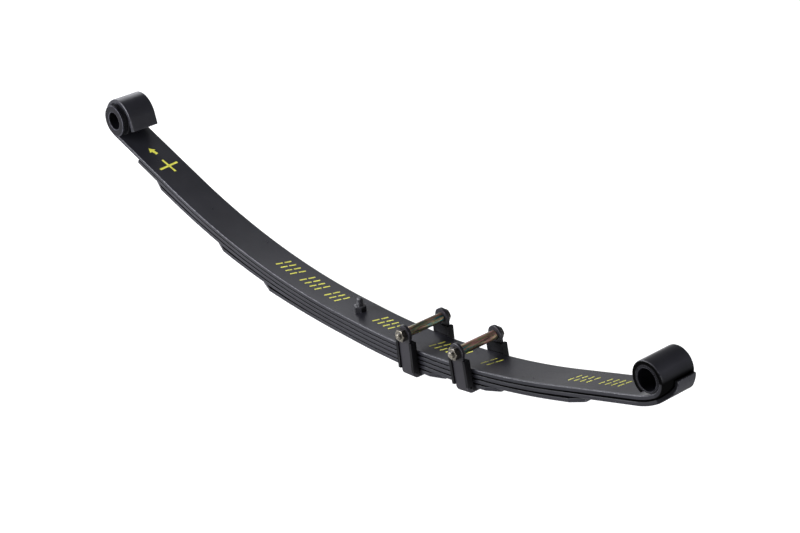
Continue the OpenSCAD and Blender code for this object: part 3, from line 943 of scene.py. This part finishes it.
def clip(prefix, s):
    """A rebound clip: strap, liner, bolt, nut, spacer tube and rivet."""
    clip_part(f"{prefix}_strap", CLIP_PAINT, 0.8)
    clip_part(f"{prefix}_liner", PLASTIC, 0.6)

    place = across_leaf(s)
    bolt = bmesh.new()
    plain_shank(bolt, BOLT_R - SKIN, -STRAP_OUT, STRAP_OUT + 1)
    threaded_end(bolt, BOLT_R - SKIN, STRAP_OUT + 1, STRAP_OUT + NUT_H + THREAD_PAST_NUT)
    head = bmesh.new()
    hex_ring(head, 0.8, -STRAP_OUT - CLIP_HEAD_H, -STRAP_OUT - SKIN, True, False)
    joined = bpy.data.meshes.new("head")
    head.to_mesh(joined)
    head.free()
    bolt.from_mesh(joined)
    turned = place @ Matrix.Rotation(math.radians(30), 4, "Z")
    bolt_piece(f"{prefix}_bolt", NUT_ZINC, bolt, turned, RIGHT)
    nut = bmesh.new()
    hex_ring(nut, BOLT_R, STRAP_OUT + SKIN, STRAP_OUT + NUT_H, False, True)
    bolt_piece(f"{prefix}_nut", NUT_ZINC, nut, turned, RIGHT)

    spacer = lathe(
        f"{prefix}_spacer",
        TUBE_ZINC,
        place @ Matrix.Rotation(-math.pi / 2, 4, "X"),
        sleeve_outline(BOLT_R + 0.2, BOLT_R + 2.0, STRAP_IN - SKIN, 0.3, 0.4, 0.2),
        64,
    )
    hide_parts(f"{prefix}_spacer")
    bends(spacer)
    clip_part(f"{prefix}_rivet", CLIP_PAINT, 0.7)


# ---------------------------------------------------------------- bushes
def bushes():
    """Each bush is a shell, a rubber ring and an inner tube; only the left tube has a collar."""
    collar_r, collar_t, body_r, bore_r = 26.2, 4.0, 21.0, 15.0
    near_end, far_end = -35.0, 30.0
    left_tube = rounded(
        (
            (bore_r, near_end), (collar_r, near_end),
            (collar_r, near_end + collar_t), (body_r, near_end + collar_t),
            (body_r, far_end), (bore_r, far_end),
        ),
        (1.2, 1.0, 0.5, 0.3, 1.0, 1.2),
    )
    left_rubber = [
        (21.06, -30.2, 0), (21.6, -30.7, 0), (23.4, -30.7, 0), (24.2, -30.4, 0), (24.9, -29.5, 0),
        (24.9, -27.0, 0), (24.7, -25.6, 0), (25.1, -24.4, 0), (25.65, -23.4, 0),
        (25.65, 23.4, 0), (24.4, 24.3, 0), (22.6, 24.0, 0), (21.6, 24.4, 0), (21.06, 24.2, 0),
    ]
    right_rubber = [
        (17.4, -28.6, 0), (17.6, -28.9, 0), (17.8, -28.9, 0), (17.98, -28.6, 0),
        (17.98, 28.6, 0), (17.8, 28.9, 0), (17.6, 28.9, 0), (17.4, 28.6, 0),
    ]
    outlines = {
        LEFT: (sleeve_outline(25.7, 27.25, 23.5, 0.3, 0.5, 0.2), left_rubber, left_tube),
        RIGHT: (
            sleeve_outline(18.0, 19.35, 30, 0.25, 0.35, 0.2),
            right_rubber,
            sleeve_outline(16.2, 17.35, 30.5, 0.3, 0.3, 0.2),
        ),
    }
    for side, prefix in ((LEFT, "left"), (RIGHT, "right")):
        x, z = eye_centre(side)
        centre = Matrix.Translation((side * x * MM, 0, z * MM))
        kinds = (
            ("shell", "bush_shell_steel", SHELL_STEEL, EYE_BODY[side]),
            ("rubber", "bush_rubber", RUBBER, EYE_BODY[side]),
            ("tube", "bush_tube_steel", TUBE_STEEL, f"{prefix}_pivot"),
        )
        for (kind, slot_name, material, body), outline in zip(kinds, outlines[side]):
            name = f"{prefix}_bush_{kind}"
            piece = lathe(name, material, centre, outline, 128)
            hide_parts(name)
            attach(piece, body)


# ---------------------------------------------------------------- floor, light and camera
LIGHT_COLOUR = (0.93, 0.94, 1.0)
LIGHT_TARGET = (0, 0, 0.08)
# name: place, size of the square in metres, watts
LIGHTS = {
    "key_light": ((-0.8, -1.5, 0.7), 1.2, 118),
    "top_light": ((-3.2, 0.8, 1.6), 2.6, 64),
    "fill_light": ((3.0, 0.1, 0.3), 1.0, 120),
}
# colours of the room's light by height: the horizon and below, halfway up, straight above
ROOM = ((0.0, (0.30, 0.30, 0.31)), (0.5, (0.26, 0.26, 0.27)), (1.0, (0.05, 0.05, 0.054)))
FLOOR_HALF = 9.0
FLOOR_DROP = 0.0005


def pale_floor():
    """A wide floor just under the spring that reads as plain white paper."""
    z = cad_box[0].z - FLOOR_DROP
    bm = bmesh.new()
    square = ((-1, -1), (1, -1), (1, 1), (-1, 1))
    bm.faces.new([bm.verts.new((x * FLOOR_HALF, y * FLOOR_HALF, z)) for x, y in square])
    mesh = bpy.data.meshes.new("floor")
    bm.to_mesh(mesh)
    bm.free()
    floor = bpy.data.objects.new("floor", mesh)
    bpy.context.scene.collection.objects.link(floor)
    white = bpy.data.materials.new("pale_floor")
    white.use_nodes = True
    bsdf = next(n for n in white.node_tree.nodes if n.type == "BSDF_PRINCIPLED")
    bsdf.inputs["Base Color"].default_value = (0.3, 0.3, 0.3, 1)
    bsdf.inputs["Roughness"].default_value = 0.9
    bsdf.inputs["Specular IOR Level"].default_value = 0.1
    bsdf.inputs["Emission Color"].default_value = (1, 1, 1, 1)
    bsdf.inputs["Emission Strength"].default_value = 0.95
    mesh.materials.append(white)


def room():
    """Soft light from all round, brighter near the horizon than overhead."""
    world = bpy.data.worlds.new("studio")
    bpy.context.scene.world = world
    world.use_nodes = True
    tree = world.node_tree
    background = next(n for n in tree.nodes if n.type == "BACKGROUND")
    coord = tree.nodes.new("ShaderNodeTexCoord")
    split = tree.nodes.new("ShaderNodeSeparateXYZ")
    ramp = tree.nodes.new("ShaderNodeValToRGB")
    tree.links.new(coord.outputs["Generated"], split.inputs["Vector"])
    tree.links.new(split.outputs["Z"], ramp.inputs["Fac"])
    tree.links.new(ramp.outputs["Color"], background.inputs["Color"])
    ramp.color_ramp.elements.new(0.5)
    for element, (position, colour) in zip(ramp.color_ramp.elements, ROOM):
        element.position = position
        element.color = (*colour, 1)
    background.inputs["Strength"].default_value = 1.0


def soft_light(name, place, size, watts):
    """A square area light that looks at the middle of the spring."""
    light = bpy.data.lights.new(name, "AREA")
    light.shape = "SQUARE"
    light.size = size
    light.energy = watts
    light.color = LIGHT_COLOUR
    obj = bpy.data.objects.new(name, light)
    obj.location = place
    aim = Vector(LIGHT_TARGET) - Vector(place)
    obj.rotation_euler = aim.to_track_quat("-Z", "Y").to_euler()
    bpy.context.scene.collection.objects.link(obj)


# where the camera looks from, in degrees, and what it looks at
AZIMUTH, ELEVATION, TILT = 50.57, 27.12, -2.91
LOOK_AT = (0.0986, 0.0, 0.1437)
DISTANCE = 2.9948
LENS = 93.19


def camera():
    """Looks down on the spring from its near right side."""
    azimuth, elevation, tilt = (math.radians(v) for v in (AZIMUTH, ELEVATION, TILT))
    away = Vector((
        math.sin(azimuth) * math.cos(elevation),
        -math.cos(azimuth) * math.cos(elevation),
        math.sin(elevation),
    ))
    right = Vector((0, 0, 1)).cross(away).normalized()
    up = away.cross(right)
    turned_right = math.cos(tilt) * right + math.sin(tilt) * up
    turned_up = away.cross(turned_right)
    place = Vector(LOOK_AT) + away * DISTANCE
    data = bpy.data.cameras.new("camera")
    data.lens = LENS
    data.sensor_width = 36.0
    data.clip_end = 60.0
    obj = bpy.data.objects.new("camera", data)
    obj.matrix_world = Matrix((
        (turned_right.x, turned_up.x, away.x, place.x),
        (turned_right.y, turned_up.y, away.y, place.y),
        (turned_right.z, turned_up.z, away.z, place.z),
        (0, 0, 0, 1),
    ))
    bpy.context.scene.collection.objects.link(obj)
    bpy.context.scene.camera = obj


main_leaf()
second_leaf()
short_leaves()
painted_marks()
centre_bolt()
clip("inner_clip", INNER_CLIP)
clip("outer_clip", OUTER_CLIP)
bushes()
pale_floor()
room()
for light_name, (light_place, light_size, light_watts) in LIGHTS.items():
    soft_light(light_name, light_place, light_size, light_watts)
camera()
bpy.context.scene.view_settings.view_transform = "Standard"
